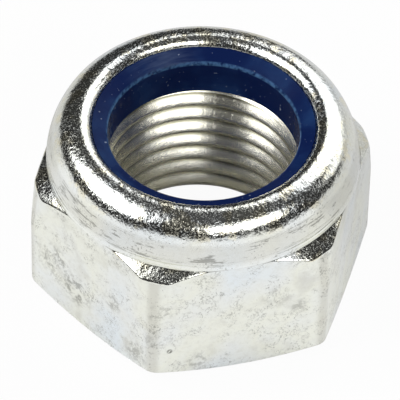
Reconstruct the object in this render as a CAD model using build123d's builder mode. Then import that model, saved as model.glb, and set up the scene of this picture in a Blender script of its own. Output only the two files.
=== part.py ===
from build123d import *
from math import cos, radians, sin, tan
import os

# Thread, as the hole it is cut in
thread_diameter = 16.0
thread_pitch = 1.5
crest_allowance = 0.2
countersink_step = 0.3
countersink_depth = 0.6
thread_top_chamfer = 0.35

# Walls from the thread outwards, which bring the width across flats to 24
insert_wall = 2.3
collar_wall = 1.9
collar_overhang = 0.2

# Hexagon
hexagon_height = 11.35
corner_rounding = 1.0
corner_lean = 0.45
corner_clearance = 0.1
corner_lean_height = 6.4
foot_inset = 0.57
foot_chamfer_angle = 20.0
shoulder_angle = 36.0

# Collar and rolled rim
seat_drop = 0.15
collar_height = 4.05
collar_foot_drop = 0.45
wall_turn_angle = 29.0
rim_rounding = 2.2
cavity_chamfer = 0.5
lip_nose_rounding = 0.92
lip_nose_turn_angle = 70.0
lip_end_height = 0.4
lip_underside_angle = 22.0

# Nylon insert
insert_clearance = 0.02
insert_bore_step = 0.17
insert_crest_rise = 0.05
insert_dish_angle = 25.0
insert_edge_rounding = 0.3

# What follows for the bore, the cavity and the hexagon
minor_radius = (thread_diameter - 1.0825 * thread_pitch + crest_allowance) / 2
countersink_radius = thread_diameter / 2 + countersink_step
cavity_radius = thread_diameter / 2 + insert_wall
collar_base_radius = cavity_radius + collar_wall
apothem = collar_base_radius - collar_overhang
foot_radius = apothem - foot_inset
thread_height = hexagon_height - seat_drop
overall_height = hexagon_height + collar_height
foot_slope = tan(radians(foot_chamfer_angle))
shoulder_slope = tan(radians(shoulder_angle))
corner_radius = (apothem - corner_rounding) / cos(radians(30)) + corner_rounding
turned_radius = corner_radius + corner_clearance
turned_height = (turned_radius - foot_radius) * foot_slope
turned_top_radius = corner_radius - corner_lean
turned_top_height = hexagon_height - (turned_top_radius - collar_base_radius) * shoulder_slope

# What follows for the collar, whose wall runs on into the rim and its lip without a break
wall_sine = sin(radians(wall_turn_angle))
wall_cosine = cos(radians(wall_turn_angle))
nose_sine = sin(radians(lip_nose_turn_angle))
nose_cosine = cos(radians(lip_nose_turn_angle))
bulge_radius = (collar_height - rim_rounding * (1 - wall_sine)) / wall_sine
crown_radius = collar_base_radius - bulge_radius * (1 - wall_cosine) - rim_rounding * wall_cosine
lip_radius = crown_radius - lip_nose_rounding * nose_sine
lip_top = overall_height - lip_nose_rounding * (1 - nose_cosine)
lip_bottom = lip_top - lip_end_height
underside_slope = tan(radians(lip_underside_angle))
cavity_top = lip_bottom - (cavity_radius - lip_radius) * underside_slope

# What follows for the insert
insert_radius = cavity_radius - insert_clearance
insert_bore_radius = minor_radius + insert_bore_step
insert_shoulder = cavity_top - insert_clearance
insert_crest_radius = lip_radius - insert_clearance
insert_notch = insert_shoulder + (insert_radius - insert_crest_radius) * underside_slope
insert_crest = lip_top + insert_crest_rise
insert_dish = (insert_crest_radius - insert_bore_radius) * tan(radians(insert_dish_angle))
insert_inner_top = insert_crest - insert_dish

with BuildPart() as nut_body:
    # Hexagon with rounded upright corners
    with BuildSketch(Plane.XY):
        RegularPolygon(radius=apothem, side_count=6, major_radius=False, rotation=30)
    extrude(amount=hexagon_height)
    fillet(nut_body.edges().filter_by(Axis.Z), radius=corner_rounding)

    # Corners turned back at the foot and at the shoulder, and leaning in below the shoulder
    with BuildSketch(Plane.XZ):
        with BuildLine():
            Polyline(
                (0, 0),
                (foot_radius, 0),
                (turned_radius, turned_height),
                (turned_radius, corner_lean_height),
                (turned_top_radius, turned_top_height),
                (collar_base_radius, hexagon_height),
                (0, hexagon_height),
                close=True,
            )
        make_face()
    revolve(axis=Axis.Z, mode=Mode.INTERSECT)

    # Bore with its countersinks, open to the insert's seat
    with BuildSketch(Plane.XZ):
        with BuildLine():
            Polyline(
                (0, 0),
                (countersink_radius, 0),
                (minor_radius, countersink_depth),
                (minor_radius, thread_height - thread_top_chamfer),
                (minor_radius + thread_top_chamfer, thread_height),
                (cavity_radius, thread_height),
                (cavity_radius, hexagon_height),
                (0, hexagon_height),
                close=True,
            )
        make_face()
    revolve(axis=Axis.Z, mode=Mode.SUBTRACT)

    # Collar wall, bulged outside, rolled inwards and rounded over the insert
    with BuildSketch(Plane.XZ) as collar:
        with BuildLine():
            wall = JernArc((collar_base_radius, hexagon_height), (0, 1), bulge_radius, wall_turn_angle)
            roll = JernArc(wall @ 1, wall % 1, rim_rounding, 90 - wall_turn_angle)
            nose = JernArc(roll @ 1, roll % 1, lip_nose_rounding, lip_nose_turn_angle)
            Polyline(
                nose @ 1,
                (lip_radius, lip_bottom),
                (cavity_radius, cavity_top),
                (cavity_radius, hexagon_height - collar_foot_drop),
                (apothem - collar_overhang, hexagon_height - collar_foot_drop),
                (collar_base_radius, hexagon_height),
            )
        make_face()
        chamfer(collar.vertices().sort_by_distance((cavity_radius, cavity_top))[0], length=cavity_chamfer)
    revolve(axis=Axis.Z)
nut_body.part.label = "nut_body"

with BuildPart() as nylon_insert:
    # Ring held under the lip, whose end stands in it, dished towards its bore
    with BuildSketch(Plane.XZ) as ring:
        with BuildLine():
            Polyline(
                (insert_bore_radius, thread_height),
                (insert_radius, thread_height),
                (insert_radius, insert_shoulder),
                (insert_crest_radius, insert_notch),
                (insert_crest_radius, insert_crest),
                (insert_bore_radius, insert_inner_top),
                close=True,
            )
        make_face()
        chamfer(ring.vertices().sort_by_distance((insert_radius, insert_shoulder))[0], length=cavity_chamfer)
        bore_corner = ring.vertices().sort_by_distance((insert_bore_radius, insert_inner_top))[0]
        fillet(bore_corner, radius=insert_edge_rounding)
    revolve(axis=Axis.Z)
nylon_insert.part.label = "nylon_insert"

os.makedirs("parts", exist_ok=True)
export_step(nut_body.part, "parts/nut_body.step")
export_step(nylon_insert.part, "parts/nylon_insert.step")
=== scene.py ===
"""Dresses the nylon insert lock nut: a zinc plated hexagon nut whose rolled rim holds a blue nylon ring."""

import logging
import math
from dataclasses import dataclass, replace
from enum import Enum
from typing import Sequence

import bpy
import numpy as np
from mathutils import Matrix, Vector

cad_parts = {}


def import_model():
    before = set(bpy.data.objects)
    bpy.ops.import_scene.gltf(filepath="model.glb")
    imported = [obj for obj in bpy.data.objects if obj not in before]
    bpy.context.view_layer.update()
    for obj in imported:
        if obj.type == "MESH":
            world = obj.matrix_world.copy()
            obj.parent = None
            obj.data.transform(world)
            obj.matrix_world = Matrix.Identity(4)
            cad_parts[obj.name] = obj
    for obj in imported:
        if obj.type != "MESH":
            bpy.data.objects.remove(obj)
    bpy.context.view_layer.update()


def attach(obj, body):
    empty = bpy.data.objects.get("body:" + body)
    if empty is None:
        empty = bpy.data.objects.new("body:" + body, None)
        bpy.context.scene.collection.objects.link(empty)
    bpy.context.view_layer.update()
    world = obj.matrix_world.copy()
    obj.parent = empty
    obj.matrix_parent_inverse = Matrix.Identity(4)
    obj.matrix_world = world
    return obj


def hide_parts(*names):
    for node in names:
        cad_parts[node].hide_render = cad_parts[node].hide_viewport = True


LOG = logging.getLogger("lock_nut")
MM = 0.001
WELD_DISTANCE = 0.002 * MM
IMAGE_SIDE = 400.0
SENSOR_WIDTH = 36.0

# Measures in millimetres that the nut shares with its finish or with the ring
HEXAGON_HEIGHT = 11.35
COLLAR_RADIUS = 12.2
SHOULDER_SLOPE = math.tan(math.radians(36.0))
SEAT_HEIGHT = 11.2

Point = tuple[float, float]
Place = tuple[float, float, float]
Colour = tuple[float, float, float]
Step = tuple[float, float]
Socket = bpy.types.NodeSocket
Inputs = dict[str | int, object]


class Slot(Enum):
    """The record's material slots."""

    STEEL = "zinc_plated_steel"
    NYLON = "blue_nylon"


# ---------------------------------------------------------------- bench work


def millimetres(*values: float) -> Vector:
    """Gives a length, place or move in metres from its millimetres."""
    return Vector(values) * MM


def direction(azimuth: float, elevation: float) -> Vector:
    """Gives the unit direction at an azimuth from +X and an elevation, both in radians."""
    level = math.cos(elevation)
    return Vector((math.cos(azimuth) * level, math.sin(azimuth) * level, math.sin(elevation)))


def clear_selection() -> None:
    """Leaves nothing selected, so that an operator acts on the new piece alone."""
    if bpy.context.object and bpy.context.object.mode != "OBJECT":
        bpy.ops.object.mode_set(mode="OBJECT")
    bpy.ops.object.select_all(action="DESELECT")


def take_up(piece: bpy.types.Object) -> None:
    """Makes one piece the only selected and active one."""
    clear_selection()
    piece.select_set(True)
    bpy.context.view_layer.objects.active = piece


def open_whole_mesh(piece: bpy.types.Object) -> None:
    """Takes a piece into edit mode with all of its mesh selected."""
    take_up(piece)
    bpy.ops.object.mode_set(mode="EDIT")
    bpy.ops.mesh.select_all(action="SELECT")


def vertex_places(piece: bpy.types.Object) -> np.ndarray:
    """Reads a mesh's vertices.

    Args:
        piece: The mesh object.

    Returns:
        One row of x, y and z in millimetres for each vertex.
    """
    flat = np.empty(len(piece.data.vertices) * 3, dtype=np.float64)
    piece.data.vertices.foreach_get("co", flat)
    return flat.reshape(-1, 3) / MM


def select_vertices(piece: bpy.types.Object, chosen: np.ndarray) -> None:
    """Selects the chosen vertices in edit mode and no other.

    Args:
        piece: The mesh object, in object mode.
        chosen: One true or false value for each vertex.
    """
    take_up(piece)
    bpy.ops.object.mode_set(mode="EDIT")
    bpy.ops.mesh.select_mode(type="VERT")
    bpy.ops.mesh.select_all(action="DESELECT")
    bpy.ops.object.mode_set(mode="OBJECT")
    piece.data.vertices.foreach_set("select", chosen)
    bpy.ops.object.mode_set(mode="EDIT")


def finish_with(piece: bpy.types.Object, kind: str, **settings: object) -> None:
    """Adds a modifier to a piece and applies it.

    Args:
        piece: The mesh object.
        kind: The modifier's type.
        settings: The modifier's settings by name.
    """
    take_up(piece)
    modifier = piece.modifiers.new(name=kind.title(), type=kind)
    for name, value in settings.items():
        setattr(modifier, name, value)
    bpy.ops.object.modifier_apply(modifier=modifier.name)


def arc(centre: Point, radius: float, start: float, end: float, count: int) -> list[Point]:
    """Lays points along an arc of a section.

    Args:
        centre: The arc's centre, as radius and height.
        radius: The arc's radius.
        start: The angle of the first point in degrees, from the outward direction upwards.
        end: The angle of the last point in degrees.
        count: How many steps the arc takes.

    Returns:
        The points from start to end.
    """
    angles = [math.radians(start + (end - start) * step / count) for step in range(count + 1)]
    return [(centre[0] + radius * math.cos(a), centre[1] + radius * math.sin(a)) for a in angles]


def stepped(start: Point, end: Point, spacing: float) -> list[Point]:
    """Divides a straight run of a section into even steps.

    Args:
        start: The first point.
        end: The last point, which is left for the next run to give.
        spacing: The longest step allowed.

    Returns:
        The points from start up to the one before end.
    """
    count = max(1, math.ceil(math.dist(start, end) / spacing))
    return [
        (start[0] + (end[0] - start[0]) * step / count, start[1] + (end[1] - start[1]) * step / count)
        for step in range(count)
    ]


def stepped_along(corners: Sequence[Point], spacings: Sequence[float]) -> list[Point]:
    """Divides a chain of straight runs.

    Args:
        corners: The chain's corners.
        spacings: The longest step allowed in each run.

    Returns:
        The points from the first corner up to the one before the last corner.
    """
    points = []
    for start, end, spacing in zip(corners, corners[1:], spacings):
        points += stepped(start, end, spacing)
    return points


def draw_section(name: str, section: Sequence[Point]) -> bpy.types.Object:
    """Draws a section in the XZ plane as one closed chain of edges, extruded point by point.

    Args:
        name: The new piece's name.
        section: The section's corners in millimetres, as radius and height.

    Returns:
        The new object, which has its place in its mesh.
    """
    clear_selection()
    bpy.ops.mesh.primitive_plane_add(size=MM, location=(0, 0, 0))
    piece = bpy.context.object
    piece.name = name
    piece.data.name = name
    bpy.ops.object.mode_set(mode="EDIT")
    bpy.ops.mesh.select_all(action="SELECT")
    bpy.ops.mesh.merge(type="CENTER")
    places = [millimetres(radius, 0, height) for radius, height in section]
    bpy.ops.transform.translate(value=places[0])
    for here, there in zip(places, places[1:] + places[:1]):
        bpy.ops.mesh.extrude_region_move(TRANSFORM_OT_translate={"value": there - here})
    bpy.ops.mesh.select_all(action="SELECT")
    bpy.ops.mesh.remove_doubles(threshold=WELD_DISTANCE / 2)
    bpy.ops.object.mode_set(mode="OBJECT")
    return piece


def turn_on_lathe(piece: bpy.types.Object, steps: int) -> None:
    """Spins a drawn section into a solid of revolution about the Z axis.

    Args:
        piece: The drawn section.
        steps: How many sides the round has.
    """
    open_whole_mesh(piece)
    bpy.ops.mesh.spin(steps=steps, angle=math.tau, center=(0, 0, 0), axis=(0, 0, 1))
    bpy.ops.mesh.select_all(action="SELECT")
    bpy.ops.mesh.remove_doubles(threshold=WELD_DISTANCE)
    bpy.ops.mesh.normals_make_consistent(inside=False)
    bpy.ops.object.mode_set(mode="OBJECT")


def dress(piece: bpy.types.Object, crease_angle: float, material: bpy.types.Material) -> None:
    """Shades a piece smooth up to its creases and gives it its only material.

    Args:
        piece: The finished mesh.
        crease_angle: The angle in degrees from which an edge stays sharp.
        material: The piece's material.
    """
    take_up(piece)
    bpy.ops.object.shade_smooth_by_angle(angle=math.radians(crease_angle))
    piece.data.materials.clear()
    piece.data.materials.append(material)


# ------------------------------------------------------------------ finishes


@dataclass(frozen=True)
class Noise:
    """A cloudy pattern, by its clouds per millimetre, its number of finer layers and their strength."""

    scale: float
    detail: float = 2.0
    roughness: float = 0.5


@dataclass(frozen=True)
class Layer:
    """Marks that rise between two values of a cloudy pattern, and how strong a full mark is."""

    noise: Noise
    step: Step
    share: float


class NodeSheet:
    """One node tree, whose nodes are added and linked by short calls."""

    def __init__(self, tree: bpy.types.NodeTree, output: str) -> None:
        """Empties a tree down to its output.

        Args:
            tree: The material's or the world's node tree.
            output: The output node's type, without its common first part.
        """
        self.tree = tree
        self.tree.nodes.clear()
        self.output = self.node(output)

    def join(self, value: Socket | float | Sequence[float], socket: Socket) -> None:
        """Links a socket to another, or writes a plain value on it."""
        if isinstance(value, bpy.types.NodeSocket):
            self.tree.links.new(value, socket)
        else:
            socket.default_value = value

    def node(self, kind: str, inputs: Inputs | None = None, **settings: object) -> bpy.types.Node:
        """Adds a node.

        Args:
            kind: The node's type, without its common first part.
            inputs: Values or sockets for the node's inputs.
            settings: The node's own settings.

        Returns:
            The new node.
        """
        node = self.tree.nodes.new("ShaderNode" + kind)
        for name, value in settings.items():
            setattr(node, name, value)
        for key, value in (inputs or {}).items():
            self.join(value, node.inputs[key])
        return node

    def show(self, shader: bpy.types.Node) -> None:
        """Sends a shader to the tree's output."""
        self.join(shader.outputs[0], self.output.inputs["Surface"])

    def sum(self, operation: str, first: Socket | float, second: Socket | float = 0.0) -> Socket:
        """Works out one sum of two values, by its name in the Math node."""
        return self.node("Math", {0: first, 1: second}, operation=operation).outputs[0]

    def plus(self, first: Socket | float, second: Socket | float) -> Socket:
        """Adds two values."""
        return self.sum("ADD", first, second)

    def minus(self, first: Socket | float, second: Socket | float) -> Socket:
        """Takes the second value from the first."""
        return self.sum("SUBTRACT", first, second)

    def times(self, first: Socket | float, second: Socket | float) -> Socket:
        """Multiplies two values."""
        return self.sum("MULTIPLY", first, second)

    def larger(self, first: Socket | float, second: Socket | float) -> Socket:
        """Takes the larger of two values."""
        return self.sum("MAXIMUM", first, second)

    def weigh(self, start: float, *parts: tuple[Socket, float]) -> Socket:
        """Adds weighted values to a start.

        Args:
            start: The value without any part.
            parts: Each part's value and weight.

        Returns:
            The total.
        """
        total: Socket | float = start
        for value, weight in parts:
            total = self.plus(self.times(value, weight), total)
        return total

    def rise(self, value: Socket, low: float, high: float) -> Socket:
        """Turns a value into a soft step.

        Args:
            value: The value to read.
            low: Where the step is 0.
            high: Where the step is 1, which may be the lower of the two.

        Returns:
            A value from 0 to 1.
        """
        inputs = {"Value": value, "From Min": low, "From Max": high}
        return self.node("MapRange", inputs, interpolation_type="SMOOTHSTEP").outputs[0]

    def lift(self, value: Socket, other: Socket, step: Step, amount: float) -> Socket:
        """Raises a value by up to an amount where another value goes through a step."""
        return self.plus(value, self.times(self.rise(other, *step), amount))

    def noise(self, place: Socket, noise: Noise) -> Socket:
        """Makes a cloudy value around one half.

        Args:
            place: Where it is read, in millimetres.
            noise: The pattern.

        Returns:
            The value.
        """
        inputs = {"Vector": place, "Scale": noise.scale, "Detail": noise.detail, "Roughness": noise.roughness}
        return self.node("TexNoise", inputs).outputs[0]

    def layer(self, place: Socket, layer: Layer) -> Socket:
        """Makes a layer of marks, from 0 to the layer's share."""
        return self.times(self.rise(self.noise(place, layer.noise), *layer.step), layer.share)

    def distance(self, place: Socket, centre: Place) -> Socket:
        """Measures how far a place lies from a fixed one."""
        return self.node("VectorMath", {0: place, 1: centre}, operation="DISTANCE").outputs["Value"]

    def tint(self, part: Socket | float, first: Socket | Colour, second: Socket | Colour) -> Socket:
        """Mixes two colours.

        Args:
            part: How much of the second colour is taken.
            first: The first colour.
            second: The second colour.

        Returns:
            The mixed colour.
        """
        node = self.node("Mix", {0: part}, data_type="RGBA")
        for colour, socket in ((first, node.inputs[6]), (second, node.inputs[7])):
            self.join(colour if isinstance(colour, bpy.types.NodeSocket) else (*colour, 1.0), socket)
        return node.outputs[2]

    def bands(self, value: Socket, stops: Sequence[tuple[float, Colour]]) -> Socket:
        """Turns a value into colours through a ramp.

        Args:
            value: The value to read.
            stops: Each stop's place and colour, in order.

        Returns:
            The colour.
        """
        node = self.node("ValToRGB", {0: value})
        elements = node.color_ramp.elements
        while len(elements) < len(stops):
            elements.new(1.0)
        for element, (position, colour) in zip(elements, stops):
            element.position = position
            element.color = (*colour, 1.0)
        return node.outputs[0]

    def glow(self, kind: str, strength: Socket | float) -> bpy.types.Node:
        """Adds a white Emission or Background shader."""
        return self.node(kind, {"Color": (1.0, 1.0, 1.0, 1.0), "Strength": strength})

    def blend(self, part: Socket, first: bpy.types.Node, second: bpy.types.Node) -> bpy.types.Node:
        """Mixes two shaders, by how much of the second is taken."""
        return self.node("MixShader", {0: part, 1: first.outputs[0], 2: second.outputs[0]})

    def bump(self, relief: Socket) -> Socket:
        """Turns a relief in millimetres into a normal."""
        return self.node("Bump", {"Height": relief, "Strength": 1.0, "Distance": MM}).outputs[0]


def new_finish(name: str) -> tuple[bpy.types.Material, NodeSheet]:
    """Starts a material.

    Args:
        name: The material's name.

    Returns:
        The material and the sheet of its nodes.
    """
    material = bpy.data.materials.new(name)
    material.use_nodes = True
    return material, NodeSheet(material.node_tree, "OutputMaterial")


@dataclass
class Surface:
    """Where a point of the nut's surface lies, as sockets in millimetres and radians."""

    sheet: NodeSheet
    place: Socket
    radius: Socket
    angle: Socket
    height: Socket
    unrolled_radius: float = 12.0

    @classmethod
    def of(cls, sheet: NodeSheet) -> "Surface":
        """Reads the place from Object coordinates.

        Args:
            sheet: The material's nodes.

        Returns:
            The place's sockets.
        """
        coordinates = sheet.node("TexCoord").outputs["Object"]
        place = sheet.node("VectorMath", {0: coordinates, "Scale": 1 / MM}, operation="SCALE").outputs[0]
        x, y, z = sheet.node("SeparateXYZ", {0: place}).outputs
        square = sheet.plus(sheet.sum("POWER", x, 2.0), sheet.sum("POWER", y, 2.0))
        return cls(sheet, place, sheet.sum("SQRT", square), sheet.sum("ARCTAN2", y, x), z)

    def unrolled(self, along: float, across: float) -> Socket:
        """Lays the surface out round the axis, for marks that follow the turning.

        Args:
            along: How the round is stretched.
            across: How the height and the radius are stretched.

        Returns:
            The stretched place.
        """
        round_scale = self.unrolled_radius * along
        inputs = {
            0: self.sheet.times(self.sheet.sum("COSINE", self.angle), round_scale),
            1: self.sheet.times(self.sheet.sum("SINE", self.angle), round_scale),
            2: self.sheet.times(self.sheet.minus(self.height, self.radius), across),
        }
        return self.sheet.node("CombineXYZ", inputs).outputs[0]


@dataclass(frozen=True)
class Blemish:
    """One larger dark mark on the steel, by its middle and reach in millimetres and its darkness up to 1."""

    centre: Place
    reach: float
    strength: float


@dataclass(frozen=True)
class Zones:
    """Which part of the steel a point lies on, each as a socket from 0 to 1."""

    flats: Socket
    shoulder: Socket
    rim: Socket
    wall: Socket
    bore: Socket
    worn: Socket
    bright: Socket


@dataclass(frozen=True)
class ZincPlate:
    """Bright zinc plating on forged and turned steel, with its tints, grime, scratches and grain, and with
    painted shade under the collar's overhang and deep in the thread.
    """

    # Where the zones lie
    shoulder_slope: float = SHOULDER_SLOPE
    hexagon_height: float = HEXAGON_HEIGHT
    collar_radius: float = COLLAR_RADIUS
    hexagon_step: Step = (11.45, 11.30)
    shoulder_step: Step = (0.16, 0.04)
    bore_step: Step = (8.45, 8.35)
    rim_step: Step = (13.6, 14.3)
    wall_foot_step: Step = (11.5, 12.2)
    wall_top_step: Step = (13.9, 13.3)
    corner_step: Step = (0.468, 0.512)
    shoulder_brightness: float = 0.8

    # Colours
    tints: tuple[tuple[float, Colour], ...] = (
        (0.30, (0.80, 0.85, 0.88)),
        (0.45, (0.84, 0.86, 0.84)),
        (0.58, (0.86, 0.87, 0.79)),
        (0.70, (0.85, 0.87, 0.84)),
    )
    # Colour of the dark marks, which also paints the shade line under the collar's overhang
    grime_and_shade: Colour = (0.16, 0.16, 0.14)
    smudge: Colour = (0.58, 0.57, 0.51)
    gilding: Colour = (0.92, 0.84, 0.58)
    clouds: Noise = Noise(0.16, 3.0)
    patches: Layer = Layer(Noise(0.33, 4.0, 0.6), (0.53, 0.72), 0.45)
    mottle: Layer = Layer(Noise(2.2, 5.0, 0.8), (0.44, 0.66), 0.22)
    gilt: Layer = Layer(Noise(0.7, 3.0, 0.6), (0.50, 0.62), 0.5)
    worn_share: float = 0.55
    wall_share: float = 0.38
    thread_crest: Colour = (0.96, 0.94, 0.82)
    # Painted shade: the thread is coloured darker towards its root, deep in the groove where the crests hide it
    thread_root_painted_shade: Colour = (0.24, 0.23, 0.16)
    root_painted_shade_step: Step = (7.62, 7.86)

    # Specks, which crowd together in clusters and on the corners
    clusters: Noise = Noise(0.55)
    specks: Noise = Noise(5.0, 3.0, 0.65)
    speck_step: Step = (0.655, 0.74)
    speck_clusters: Step = (0.44, 0.68)
    speck_crowding: float = 0.10
    speck_crowding_on_corners: float = 0.06
    speck_share: float = 0.55
    speck_share_lost_on_rim: float = 0.3

    # Dashes round the wall
    dashes: Noise = Noise(1.1, 4.0, 0.65)
    dash_stretch: Point = (0.45, 3.2)
    dash_step: Step = (0.62, 0.70)
    dash_clusters: Step = (0.42, 0.62)
    dash_crowding: float = 0.10
    dash_share: float = 0.6

    # Curled hair lines on the flats
    curls: Noise = Noise(1.3, 4.0, 0.6)
    curl_step: Step = (0.016, 0.005)
    curl_clusters: Step = (0.44, 0.58)
    curl_share: float = 0.42

    # Larger marks; the first is the pit near the front corner's foot
    blemishes: tuple[Blemish, ...] = (
        Blemish((1.26, -13.13, 3.08), 0.30, 1.0),
        Blemish((-9.41, -8.42, 5.0), 2.4, 0.58),
        Blemish((-7.43, -9.57, 3.7), 2.2, 0.62),
        Blemish((-3.79, -11.67, 5.5), 1.2, 0.45),
        Blemish((-1.5, -13.0, 2.0), 1.6, 0.45),
        Blemish((0.6, -13.5, 7.4), 1.4, 0.35),
        Blemish((0.3, -13.5, 4.4), 1.3, 0.35),
        Blemish((3.2, -12.0, 1.3), 1.4, 0.40),
        Blemish((10.2, -7.95, 5.8), 1.0, 0.35),
        Blemish((8.6, -8.9, 7.2), 1.6, 0.25),
    )
    blemish_core: float = 0.4
    blemish_rags: Noise = Noise(1.9, 5.0, 0.75)
    blemish_step: Step = (0.54, 0.68)
    blemish_wholeness: float = 0.1

    # Painted shade: a broken dark line under the collar's overhang, where its foot meets the flats
    painted_shade_drop: float = 0.02
    painted_shade_step: Step = (0.09, 0.03)
    painted_shade_radius_step: Step = (12.7, 12.4)
    painted_shade_breaks: Step = (0.30, 0.56)
    painted_shade_share: float = 0.6

    # Relief in millimetres, everywhere and what the bright zones add
    grain: Noise = Noise(9.0, 1.5)
    grain_height: float = 0.004
    grain_height_added: float = 0.007
    waves: Noise = Noise(1.3)
    wave_height: float = 0.012
    wave_height_added: float = 0.034
    pits: Layer = Layer(Noise(4.5, 2.0, 0.6), (0.54, 0.68), 0.008)
    turning: Noise = Noise(1.6, 4.0, 0.65)
    turning_stretch: Point = (0.5, 5.0)
    turning_height_on_wall: float = 0.012
    turning_height_in_bore: float = 0.014
    mark_depth: float = 0.006

    # Roughness, and what each zone adds
    roughness: float = 0.07
    flats_roughness: float = 0.26
    wall_roughness: float = 0.14
    bore_roughness: float = 0.19
    pepper: Layer = Layer(Noise(7.5, 3.0, 0.65), (0.48, 0.64), 0.27)

    def zones(self, spot: Surface) -> Zones:
        """Tells the steel's zones apart.

        Args:
            spot: Where the point lies.

        Returns:
            The zones.
        """
        sheet = spot.sheet
        outwards = sheet.times(sheet.minus(spot.radius, self.collar_radius), self.shoulder_slope)
        under_shoulder = sheet.minus(sheet.minus(self.hexagon_height, spot.height), outwards)
        hexagon = sheet.rise(spot.height, *self.hexagon_step)
        shoulder = sheet.times(sheet.rise(under_shoulder, *self.shoulder_step), hexagon)
        bore = sheet.rise(spot.radius, *self.bore_step)
        flats = sheet.times(sheet.minus(hexagon, shoulder), sheet.minus(1.0, bore))
        rim = sheet.rise(spot.height, *self.rim_step)
        above_foot = sheet.rise(spot.height, *self.wall_foot_step)
        wall = sheet.times(above_foot, sheet.rise(spot.height, *self.wall_top_step))
        corner = sheet.rise(sheet.sum("PINGPONG", spot.angle, math.pi / 6), *self.corner_step)
        bright = sheet.larger(rim, sheet.times(shoulder, self.shoulder_brightness))
        return Zones(flats, shoulder, rim, wall, bore, sheet.times(corner, flats), bright)

    def blot(self, spot: Surface, blemish: Blemish) -> Socket:
        """Makes one blemish, which is more ragged the larger it is.

        Args:
            spot: Where the point lies.
            blemish: The blemish.

        Returns:
            How dark the point is.
        """
        sheet = spot.sheet
        away = sheet.distance(spot.place, blemish.centre)
        blot = sheet.times(sheet.rise(away, blemish.reach, blemish.reach * self.blemish_core), blemish.strength)
        size = math.sqrt(blemish.reach)
        rags = replace(self.blemish_rags, scale=self.blemish_rags.scale / size)
        low, high = (edge - self.blemish_wholeness / size for edge in self.blemish_step)
        return sheet.times(blot, sheet.rise(sheet.noise(spot.place, rags), low, high))

    def marks(self, spot: Surface, zones: Zones, turning: Socket) -> Socket:
        """Makes all the dark marks, and the painted shade line under the collar's overhang.

        Args:
            spot: Where the point lies.
            zones: The zones.
            turning: The turning lines' value.

        Returns:
            How dark the point is.
        """
        sheet = spot.sheet
        clusters = sheet.noise(spot.place, self.clusters)
        specks = sheet.noise(spot.place, self.specks)
        specks = sheet.lift(specks, clusters, self.speck_clusters, self.speck_crowding)
        specks = sheet.plus(specks, sheet.times(zones.worn, self.speck_crowding_on_corners))
        share = sheet.minus(self.speck_share, sheet.times(zones.rim, self.speck_share_lost_on_rim))
        marks = sheet.times(sheet.rise(specks, *self.speck_step), share)

        dashes = sheet.noise(spot.unrolled(*self.dash_stretch), self.dashes)
        dashes = sheet.lift(dashes, clusters, self.dash_clusters, self.dash_crowding)
        dashes = sheet.times(sheet.rise(dashes, *self.dash_step), zones.wall)
        marks = sheet.larger(marks, sheet.times(dashes, self.dash_share))

        off_line = sheet.sum("ABSOLUTE", sheet.minus(sheet.noise(spot.place, self.curls), 0.5))
        curls = sheet.times(sheet.rise(off_line, *self.curl_step), sheet.rise(clusters, *self.curl_clusters))
        marks = sheet.larger(marks, sheet.times(sheet.times(curls, zones.flats), self.curl_share))

        for blemish in self.blemishes:
            marks = sheet.larger(marks, self.blot(spot, blemish))

        # Painted shade: the collar's foot overhangs the flats, and the line under it is painted dark, broken by
        # the turning lines
        off_painted_shade = sheet.sum("ABSOLUTE", sheet.minus(spot.height, self.hexagon_height - self.painted_shade_drop))
        at_collar = sheet.rise(spot.radius, *self.painted_shade_radius_step)
        painted_shade = sheet.times(sheet.rise(off_painted_shade, *self.painted_shade_step), at_collar)
        painted_shade = sheet.times(painted_shade, sheet.rise(turning, *self.painted_shade_breaks))
        return sheet.larger(marks, sheet.times(painted_shade, self.painted_shade_share))

    def colour(self, spot: Surface, zones: Zones, marks: Socket) -> Socket:
        """Colours the steel.

        Args:
            spot: Where the point lies.
            zones: The zones.
            marks: The dark marks and the painted shade line.

        Returns:
            The colour.
        """
        sheet = spot.sheet
        colour = sheet.bands(sheet.noise(spot.place, self.clouds), self.tints)
        patches = sheet.times(sheet.layer(spot.place, self.patches), zones.flats)
        colour = sheet.tint(patches, colour, self.smudge)
        colour = sheet.tint(sheet.layer(spot.place, self.mottle), colour, self.smudge)
        gilt = sheet.times(sheet.layer(spot.place, self.gilt), sheet.larger(zones.rim, zones.shoulder))
        colour = sheet.tint(gilt, colour, self.gilding)
        colour = sheet.tint(sheet.times(zones.worn, self.worn_share), colour, self.smudge)
        colour = sheet.tint(sheet.times(zones.wall, self.wall_share), colour, self.smudge)
        colour = sheet.tint(marks, colour, self.grime_and_shade)
        # Painted shade in the thread: crest colour at the crests, darkening to the root colour deep in the
        # groove
        thread = sheet.tint(sheet.rise(spot.radius, *self.root_painted_shade_step), self.thread_crest, self.thread_root_painted_shade)
        return sheet.tint(zones.bore, colour, thread)

    def relief(self, spot: Surface, zones: Zones, marks: Socket, turning: Socket) -> Socket:
        """Makes the fine relief.

        Args:
            spot: Where the point lies.
            zones: The zones.
            marks: The dark marks and the painted shade line, which lie a little deeper.
            turning: The turning lines' value.

        Returns:
            The relief in millimetres.
        """
        sheet = spot.sheet
        grain_height = sheet.weigh(self.grain_height, (zones.bright, self.grain_height_added))
        wave_height = sheet.weigh(self.wave_height, (zones.bright, self.wave_height_added))
        turning_height = sheet.weigh(
            0.0, (zones.wall, self.turning_height_on_wall), (zones.bore, self.turning_height_in_bore)
        )
        relief = sheet.times(sheet.noise(spot.place, self.grain), grain_height)
        relief = sheet.plus(relief, sheet.times(sheet.noise(spot.place, self.waves), wave_height))
        relief = sheet.minus(relief, sheet.times(sheet.layer(spot.place, self.pits), zones.bright))
        relief = sheet.plus(relief, sheet.times(turning, turning_height))
        return sheet.minus(relief, sheet.times(marks, self.mark_depth))

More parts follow.
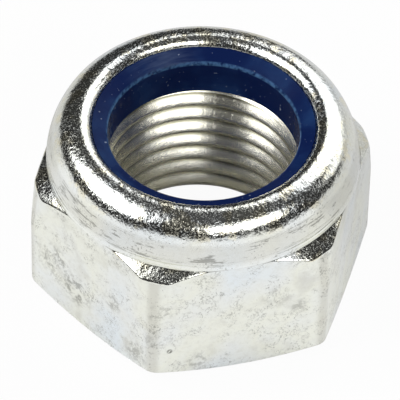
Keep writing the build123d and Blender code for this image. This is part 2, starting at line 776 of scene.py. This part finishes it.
    def make(self) -> bpy.types.Material:
        """Makes the plating's material.

        Returns:
            The material.
        """
        material, sheet = new_finish("zinc plated steel")
        spot = Surface.of(sheet)
        zones = self.zones(spot)
        turning = sheet.noise(spot.unrolled(*self.turning_stretch), self.turning)
        marks = self.marks(spot, zones, turning)
        roughness = sheet.weigh(
            self.roughness,
            (zones.flats, self.flats_roughness),
            (zones.wall, self.wall_roughness),
            (zones.bore, self.bore_roughness),
        )
        inputs = {
            "Base Color": self.colour(spot, zones, marks),
            "Metallic": 1.0,
            "Roughness": sheet.plus(roughness, sheet.times(sheet.layer(spot.place, self.pepper), zones.bright)),
            "Normal": sheet.bump(self.relief(spot, zones, marks, turning)),
        }
        sheet.show(sheet.node("BsdfPrincipled", inputs))
        return material


@dataclass(frozen=True)
class NavyNylon:
    """Dark blue moulded nylon with a low gloss, a painted highlight on its inner edge, a painted sheen on its
    far side and a few specks.
    """

    colour: Colour = (0.006, 0.016, 0.080)
    pale: Colour = (0.016, 0.046, 0.150)
    clouds: Noise = Noise(0.25, 3.0)
    pale_step: Step = (0.42, 0.75)

    # Painted highlight: a paler blue line round the ring's inner top edge, frayed by noise, where the rounded
    # edge would catch the light
    edge: Colour = (0.09, 0.21, 0.43)
    painted_highlight_radius: float = 7.58
    painted_highlight_height: float = 14.12
    painted_highlight_step: Step = (0.06, 0.01)
    painted_highlight_fray: Noise = Noise(2.5, 3.0, 0.6)
    painted_highlight_fray_step: Step = (0.30, 0.62)

    # Painted sheen: a paler streaked patch on the ring's far left top, standing in for a lamp's soft reflection
    painted_sheen: Colour = (0.055, 0.080, 0.165)
    painted_sheen_centre: Place = (-5.6, 6.4, 14.4)
    painted_sheen_reach: float = 4.2
    painted_sheen_streaks: Step = (0.25, 0.7)
    painted_sheen_height_step: Step = (14.0, 14.3)

    dust: Colour = (0.32, 0.38, 0.50)
    fine: Noise = Noise(4.0, 1.0)
    dust_step: Step = (0.735, 0.775)

    turning: Noise = Noise(1.0, 3.0, 0.6)
    turning_stretch: Point = (0.25, 6.0)
    turning_height: float = 0.006
    fine_height: float = 0.004
    waves: Noise = Noise(0.7)
    wave_height: float = 0.03

    roughness: float = 0.16
    clouded_roughness: float = 0.2
    gloss: float = 0.03

    def colours(self, spot: Surface, clouds: Socket, turning: Socket, fine: Socket) -> Socket:
        """Colours the nylon.

        Args:
            spot: Where the point lies.
            clouds: The wide clouds' value.
            turning: The turning lines' value.
            fine: The fine pattern's value.

        Returns:
            The colour.
        """
        sheet = spot.sheet
        colour = sheet.tint(sheet.rise(clouds, *self.pale_step), self.colour, self.pale)
        # Painted highlight along the inner top edge, frayed by noise
        aside = sheet.sum("POWER", sheet.minus(spot.radius, self.painted_highlight_radius), 2.0)
        above = sheet.sum("POWER", sheet.minus(spot.height, self.painted_highlight_height), 2.0)
        edge = sheet.rise(sheet.plus(aside, above), *self.painted_highlight_step)
        frayed = sheet.rise(sheet.noise(spot.place, self.painted_highlight_fray), *self.painted_highlight_fray_step)
        colour = sheet.tint(sheet.times(edge, frayed), colour, self.edge)
        # Painted sheen on the top of the ring, streaked along the turning lines
        painted_sheen = sheet.rise(sheet.distance(spot.place, self.painted_sheen_centre), self.painted_sheen_reach, 0.0)
        painted_sheen = sheet.times(painted_sheen, sheet.rise(turning, *self.painted_sheen_streaks))
        painted_sheen = sheet.times(painted_sheen, sheet.rise(spot.height, *self.painted_sheen_height_step))
        colour = sheet.tint(painted_sheen, colour, self.painted_sheen)
        return sheet.tint(sheet.rise(fine, *self.dust_step), colour, self.dust)

    def make(self) -> bpy.types.Material:
        """Makes the nylon's material.

        Returns:
            The material.
        """
        material, sheet = new_finish("navy nylon")
        spot = Surface.of(sheet)
        clouds = sheet.noise(spot.place, self.clouds)
        turning = sheet.noise(spot.unrolled(*self.turning_stretch), self.turning)
        fine = sheet.noise(spot.place, self.fine)
        waves = sheet.noise(spot.place, self.waves)
        relief = sheet.weigh(
            0.0, (turning, self.turning_height), (fine, self.fine_height), (waves, self.wave_height)
        )
        inputs = {
            "Base Color": self.colours(spot, clouds, turning, fine),
            "Roughness": sheet.weigh(self.roughness, (clouds, self.clouded_roughness)),
            "Specular IOR Level": self.gloss,
            "Normal": sheet.bump(relief),
        }
        sheet.show(sheet.node("BsdfPrincipled", inputs))
        return material


# -------------------------------------------------------------------- pieces


@dataclass
class ForgedNut:
    """The steel nut: hexagon, collar, rolled rim and tapped bore, in one piece."""

    # Hexagon
    apothem: float = 12.0
    corner_rounding: float = 1.0
    foot_radius: float = 11.43
    foot_slope: float = math.tan(math.radians(20.0))
    shoulder_slope: float = SHOULDER_SLOPE
    hexagon_height: float = HEXAGON_HEIGHT
    widest_radius: float = 13.802
    lean_height: float = 6.4
    top_radius: float = 13.252
    pressed_planes: int = 24
    clear_of_collar: float = 0.01

    # Collar, rolled rim and cavity
    collar_radius: float = COLLAR_RADIUS
    bulge_radius: float = 6.0159
    wall_turn: float = 29.0
    rim_rounding: float = 2.2
    nose_rounding: float = 0.92
    nose_turn: float = 70.0
    lip_end_height: float = 0.4
    cavity_radius: float = 10.3
    cavity_top: float = 13.731
    seat_height: float = SEAT_HEIGHT
    grooves: tuple[float, float] = (11.78, 12.16)
    groove_depth: float = 0.035
    groove_width: float = 0.07

    # Bore and thread
    countersink_radius: float = 8.3
    countersink_depth: float = 0.6
    crest_radius: float = 7.288
    top_chamfer: float = 0.35
    thread_radius: float = 8.0
    thread_pitch: float = 1.5
    thread_start: float = -0.28
    crest_easing: float = 0.12
    crest_easing_rise: float = 0.19
    upper_flank: float = 0.72
    root_flat: float = 0.10
    lower_flank: float = 0.32
    tap_overlap: float = 0.2
    tap_turns_below: int = 2
    tap_turns: int = 11
    tap_steps: int = 128

    # Wear of the outer edges
    worn_inset: float = 0.4
    worn_heights: tuple[float, float] = (0.05, 11.9)
    worn_factor: float = 0.5
    worn_rounds: int = 4

    # How finely the section is divided: foot, its chamfer, side, lean and shoulder, then lip end and underside
    hexagon_spacings: tuple[float, ...] = (1.2, 0.12, 0.4, 0.3, 0.09)
    lip_spacings: tuple[float, ...] = (0.14, 0.6)
    wall_steps: int = 64
    rim_steps: int = 26
    nose_steps: int = 16
    round_steps: int = 384
    crease_angle: float = 32.0

    def groove_share(self, height: float) -> float:
        """Gives how deep the two fine grooves at the collar's foot are at a height, from 0 to 1."""
        return sum(math.exp(-(((height - groove) / self.groove_width) ** 2)) for groove in self.grooves)

    def hexagon_section(self) -> list[Point]:
        """Lays out the section from the foot up to the collar's foot.

        Returns:
            The corners as radius and height.
        """
        foot_rise = (self.widest_radius - self.foot_radius) * self.foot_slope
        shoulder_fall = (self.top_radius - self.collar_radius) * self.shoulder_slope
        corners = [
            (self.countersink_radius, 0.0),
            (self.foot_radius, 0.0),
            (self.widest_radius, foot_rise),
            (self.widest_radius, self.lean_height),
            (self.top_radius, self.hexagon_height - shoulder_fall),
            (self.collar_radius, self.hexagon_height),
        ]
        return stepped_along(corners, self.hexagon_spacings)

    def collar_section(self) -> list[Point]:
        """Lays out the grooved wall, the rolled rim, its nose and the lip's end and underside.

        Returns:
            The corners as radius and height.
        """
        wall_centre = (self.collar_radius - self.bulge_radius, self.hexagon_height)
        wall = [
            (radius - self.groove_depth * self.groove_share(height), height)
            for radius, height in arc(wall_centre, self.bulge_radius, 0.0, self.wall_turn, self.wall_steps)
        ]
        turn = math.radians(self.wall_turn)
        roll_centre = (
            wall[-1][0] - self.rim_rounding * math.cos(turn),
            wall[-1][1] - self.rim_rounding * math.sin(turn),
        )
        roll = arc(roll_centre, self.rim_rounding, self.wall_turn, 90.0, self.rim_steps)
        nose_centre = (roll_centre[0], roll[-1][1] - self.nose_rounding)
        nose = arc(nose_centre, self.nose_rounding, 90.0, 90.0 + self.nose_turn, self.nose_steps)
        lip_low = (nose[-1][0], nose[-1][1] - self.lip_end_height)
        lip = stepped_along([nose[-1], lip_low, (self.cavity_radius, self.cavity_top)], self.lip_spacings)
        return wall[:-1] + roll[:-1] + nose[:-1] + lip

    def section(self) -> list[Point]:
        """Lays out the turned blank's section, from the foot outwards and back down the bore.

        Returns:
            The corners as radius and height.
        """
        return self.hexagon_section() + self.collar_section() + [
            (self.cavity_radius, self.cavity_top),
            (self.cavity_radius, self.seat_height),
            (self.crest_radius + self.top_chamfer, self.seat_height),
            (self.crest_radius, self.seat_height - self.top_chamfer),
            (self.crest_radius, self.countersink_depth),
        ]

    def press_flats(self, piece: bpy.types.Object) -> None:
        """Presses the round blank's side to a hexagon with rounded corners, plane by plane.

        Args:
            piece: The turned blank.
        """
        corner_centre = (self.apothem - self.corner_rounding) / math.cos(math.pi / 6)
        turn = math.tau / self.pressed_planes
        for plane in range(self.pressed_planes):
            off_corner = math.radians(30.0 - (plane * 360.0 / self.pressed_planes) % 60.0)
            reach = corner_centre * math.cos(off_corner) + self.corner_rounding
            places = vertex_places(piece)
            below_collar = places[:, 2] < self.hexagon_height - self.clear_of_collar
            select_vertices(piece, (places[:, 0] > reach) & below_collar)
            bpy.ops.transform.resize(value=(0, 1, 1), center_override=millimetres(reach, 0, 0))
            bpy.ops.mesh.select_all(action="SELECT")
            bpy.ops.transform.rotate(value=turn, orient_axis="Z", center_override=(0, 0, 0))
            bpy.ops.object.mode_set(mode="OBJECT")

    def soften_edges(self, piece: bpy.types.Object) -> None:
        """Wears the hexagon's edges and the collar's foot round.

        Args:
            piece: The pressed blank.
        """
        places = vertex_places(piece)
        low, high = self.worn_heights
        worn = np.hypot(places[:, 0], places[:, 1]) > self.foot_radius - self.worn_inset
        worn &= (places[:, 2] > low) & (places[:, 2] < high)
        group = piece.vertex_groups.new(name="worn")
        group.add([int(index) for index in np.flatnonzero(worn)], 1.0, "REPLACE")
        finish_with(
            piece, "SMOOTH", factor=self.worn_factor, iterations=self.worn_rounds, vertex_group=group.name
        )

    def tooth(self) -> list[Point]:
        """Lays out the tap's tooth, whose flanks flare where the crests are eased.

        Returns:
            The corners as radius and height.
        """
        eased = self.crest_radius + self.crest_easing
        share = (self.thread_radius - eased) / (self.thread_radius - self.crest_radius)
        inner = self.crest_radius - self.tap_overlap
        flare = self.crest_easing_rise * (self.crest_easing + self.tap_overlap) / self.crest_easing
        root_low = self.thread_start - self.tap_turns_below * self.thread_pitch
        root_high = root_low + self.root_flat
        flank_low = root_low - self.upper_flank * share
        flank_high = root_high + self.lower_flank * share
        return [
            (inner, flank_low - flare),
            (eased, flank_low),
            (self.thread_radius, root_low),
            (self.thread_radius, root_high),
            (eased, flank_high),
            (inner, flank_high + flare),
        ]

    def cut_thread(self, piece: bpy.types.Object) -> None:
        """Taps the bore with a right-hand thread that runs out at both ends.

        Args:
            piece: The blank.
        """
        tap = draw_section("tap", self.tooth())
        finish_with(
            tap,
            "SCREW",
            angle=math.tau,
            screw_offset=self.thread_pitch * MM,
            iterations=self.tap_turns,
            steps=self.tap_steps,
            render_steps=self.tap_steps,
            use_merge_vertices=True,
        )
        open_whole_mesh(tap)
        bpy.ops.mesh.fill_holes(sides=0)
        bpy.ops.mesh.normals_make_consistent(inside=False)
        bpy.ops.object.mode_set(mode="OBJECT")
        finish_with(piece, "BOOLEAN", operation="DIFFERENCE", solver="EXACT", object=tap)
        bpy.data.objects.remove(tap, do_unlink=True)

    def build(self) -> bpy.types.Object:
        """Models and dresses the nut.

        Returns:
            The finished piece.
        """
        piece = draw_section("forged_nut", self.section())
        turn_on_lathe(piece, self.round_steps)
        self.press_flats(piece)
        self.soften_edges(piece)
        self.cut_thread(piece)
        dress(piece, self.crease_angle, ZincPlate().make())
        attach(piece, "root")
        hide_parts("nut_body")
        return piece


@dataclass
class NylonRing:
    """The nylon ring under the rolled lip."""

    # Section
    bore_radius: float = 7.458
    outer_radius: float = 10.28
    seat_height: float = SEAT_HEIGHT
    shoulder_height: float = 13.711
    notch_height: float = 14.375
    crest_radius: float = 8.637
    crest_height: float = 14.845
    inner_top: float = 14.295
    edge_rounding: float = 0.3

    # How finely the section is divided: seat, outer side, underside of the lip, its end and the dish
    spacings: tuple[float, ...] = (1.5, 1.5, 0.5, 0.2, 0.2)
    bore_spacing: float = 0.6
    edge_steps: int = 6
    round_steps: int = 288
    crease_angle: float = 35.0

    def section(self) -> list[Point]:
        """Lays out the ring's section.

        Returns:
            The corners as radius and height.
        """
        dish_depth, dish_width = self.crest_height - self.inner_top, self.crest_radius - self.bore_radius
        slope = math.degrees(math.atan2(dish_depth, dish_width))
        reach = self.edge_rounding * math.tan(math.radians((90.0 - slope) / 2))
        edge_centre = (self.bore_radius + self.edge_rounding, self.inner_top - reach)
        edge = arc(edge_centre, self.edge_rounding, 90.0 + slope, 180.0, self.edge_steps)
        corners = [
            (self.bore_radius, self.seat_height),
            (self.outer_radius, self.seat_height),
            (self.outer_radius, self.shoulder_height),
            (self.crest_radius, self.notch_height),
            (self.crest_radius, self.crest_height),
            edge[0],
        ]
        back_down = stepped(edge[-1], corners[0], self.bore_spacing)
        return stepped_along(corners, self.spacings) + edge[:-1] + back_down

    def build(self) -> bpy.types.Object:
        """Models and dresses the ring.

        Returns:
            The finished piece.
        """
        piece = draw_section("nylon_ring", self.section())
        turn_on_lathe(piece, self.round_steps)
        dress(piece, self.crease_angle, NavyNylon().make())
        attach(piece, "root")
        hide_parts("nylon_insert")
        return piece


@dataclass(frozen=True)
class SoftLamp:
    """One rectangular soft lamp, by the part of the room that it fills as the nut sees it, in degrees."""

    name: str
    azimuth: float
    elevation: float
    width: float
    height: float
    brightness: float


@dataclass
class Studio:
    """The pale floor, the soft lamps and the camera."""

    # Lamps, all at one distance in metres, and how bright the room is at its sides and its ceiling
    lamps: tuple[SoftLamp, ...] = (
        SoftLamp("lamp left", -165.5, 49.0, 45.0, 38.0, 2.8),
        SoftLamp("lamp left, lower part", -138.0, 40.0, 22.0, 22.0, 3.2),
        SoftLamp("lamp front right", -41.0, 43.0, 46.0, 28.0, 2.5),
        SoftLamp("lamp behind", 74.0, 46.0, 40.0, 26.0, 2.0),
        SoftLamp("white wall behind", 61.0, 27.0, 60.0, 20.0, 1.4),
        SoftLamp("low wall behind", 62.0, 8.0, 44.0, 18.0, 0.5),
        SoftLamp("table edge in front", -75.0, 4.0, 84.0, 10.0, 0.85),
    )
    lamp_distance: float = 0.5
    room_sides: float = 0.03
    room_ceiling: float = 0.07
    ceiling_step: Step = (0.55, 0.98)

    # Floor: its side in metres, how white it is, and where, in millimetres, the nut mirrors it darker
    floor_size: float = 1.2
    floor_colour: Colour = (0.9, 0.9, 0.9)
    floor_whiteness: float = 0.95
    shaded_step: Step = (9.0, 16.0)
    behind_step: Step = (-3.0, 9.0)
    floor_dimmed_behind: float = 0.30

    # Camera, solved from the photograph; angles in degrees and lengths in millimetres
    azimuth: float = 15.10
    elevation: float = 46.21
    roll: float = 1.45
    distance: float = 356.72
    focal_pixels: float = 4548.58
    target_height: float = 7.2
    target_right: float = -0.1512
    target_up: float = -0.5016
    clip_start: float = 10.0

    def place_camera(self) -> None:
        """Sets the camera at the photograph's angle."""
        azimuth = math.radians(self.azimuth)
        back = direction(azimuth - math.pi / 2, math.radians(self.elevation))
        right = direction(azimuth, 0.0)
        up = back.cross(right)
        target = millimetres(0, 0, self.target_height)
        target += (right * self.target_right + up * self.target_up) * MM
        roll = math.radians(self.roll)
        rolled_right = right * math.cos(roll) + up * math.sin(roll)
        rolled_up = up * math.cos(roll) - right * math.sin(roll)
        clear_selection()
        bpy.ops.object.camera_add()
        camera = bpy.context.object
        turned = Matrix((rolled_right, rolled_up, back)).transposed().to_4x4()
        camera.matrix_world = Matrix.Translation(target + back * self.distance * MM) @ turned
        camera.data.sensor_width = SENSOR_WIDTH
        camera.data.lens = self.focal_pixels * SENSOR_WIDTH / IMAGE_SIDE
        camera.data.clip_start = self.clip_start * MM
        bpy.context.scene.camera = camera

    def floor_finish(self) -> bpy.types.Material:
        """Makes the floor's material: white to the eye, and darker where the nut mirrors it, with the floor's
        own shade near the nut and a painted shadow behind it.

        Returns:
            The material.
        """
        material, sheet = new_finish("pale floor")
        spot = Surface.of(sheet)
        path = sheet.node("LightPath").outputs
        diffuse = sheet.node("BsdfDiffuse", {"Color": (*self.floor_colour, 1.0)})
        white, dark = sheet.glow("Emission", 1.0), sheet.glow("Emission", self.room_sides)
        mirrored = sheet.times(path["Is Glossy Ray"], sheet.rise(spot.radius, *self.shaded_step))
        seen = sheet.larger(sheet.larger(path["Is Camera Ray"], mirrored), path["Is Transmission Ray"])
        floor = sheet.blend(sheet.times(seen, self.floor_whiteness), diffuse, white)
        # Painted shadow: behind the nut, mirrored rays see a dark glow in place of the floor
        depth = sheet.node("SeparateXYZ", {0: spot.place}).outputs["Y"]
        behind = sheet.times(sheet.rise(depth, *self.behind_step), path["Is Glossy Ray"])
        sheet.show(sheet.blend(sheet.times(behind, self.floor_dimmed_behind), floor, dark))
        return material

    def lay_floor(self) -> None:
        """Lays the pale floor."""
        clear_selection()
        bpy.ops.mesh.primitive_plane_add(size=self.floor_size, location=(0, 0, 0))
        floor = bpy.context.object
        floor.name = "floor"
        floor.data.materials.append(self.floor_finish())

    def hang_lamp(self, lamp: SoftLamp) -> None:
        """Hangs one soft lamp at the studio's lamp distance, facing the nut.

        Args:
            lamp: The lamp's direction, spread and brightness.
        """
        outwards = direction(math.radians(lamp.azimuth), math.radians(lamp.elevation))
        width, height = (
            2 * self.lamp_distance * math.tan(math.radians(spread / 2)) for spread in (lamp.width, lamp.height)
        )
        clear_selection()
        bpy.ops.object.light_add(type="AREA", location=outwards * self.lamp_distance)
        light = bpy.context.object
        light.name = lamp.name
        light.rotation_euler = outwards.to_track_quat("Z", "Y").to_euler()
        light.visible_camera = False
        light.data.shape = "RECTANGLE"
        light.data.size = width
        light.data.size_y = height
        light.data.energy = lamp.brightness * math.pi * width * height

    def light(self) -> None:
        """Lights the nut with soft lamps in a dim room whose backdrop is white."""
        world = bpy.data.worlds.new("studio")
        bpy.context.scene.world = world
        world.use_nodes = True
        sheet = NodeSheet(world.node_tree, "OutputWorld")
        upwards = sheet.node("SeparateXYZ", {0: sheet.node("TexCoord").outputs["Generated"]}).outputs["Z"]
        low, high = self.ceiling_step
        fade = {
            "Value": upwards,
            "From Min": low,
            "From Max": high,
            "To Min": self.room_sides,
            "To Max": self.room_ceiling,
        }
        room = sheet.glow("Background", sheet.node("MapRange", fade).outputs[0])
        backdrop = sheet.glow("Background", 1.0)
        path = sheet.node("LightPath").outputs
        seen = sheet.larger(path["Is Camera Ray"], path["Is Transmission Ray"])
        sheet.show(sheet.blend(seen, room, backdrop))
        for lamp in self.lamps:
            self.hang_lamp(lamp)

    def build(self) -> None:
        """Sets up floor, lamps, camera and view."""
        self.place_camera()
        self.lay_floor()
        self.light()
        bpy.context.scene.view_settings.view_transform = "Standard"


def main() -> None:
    """Builds the nut, the ring and the studio."""
    logging.basicConfig(level=logging.INFO, format="%(message)s")
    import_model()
    for part in (ForgedNut(), NylonRing()):
        piece = part.build()
        LOG.info("%s: %d vertices", piece.name, len(piece.data.vertices))
    Studio().build()


if __name__ == "__main__":
    main()
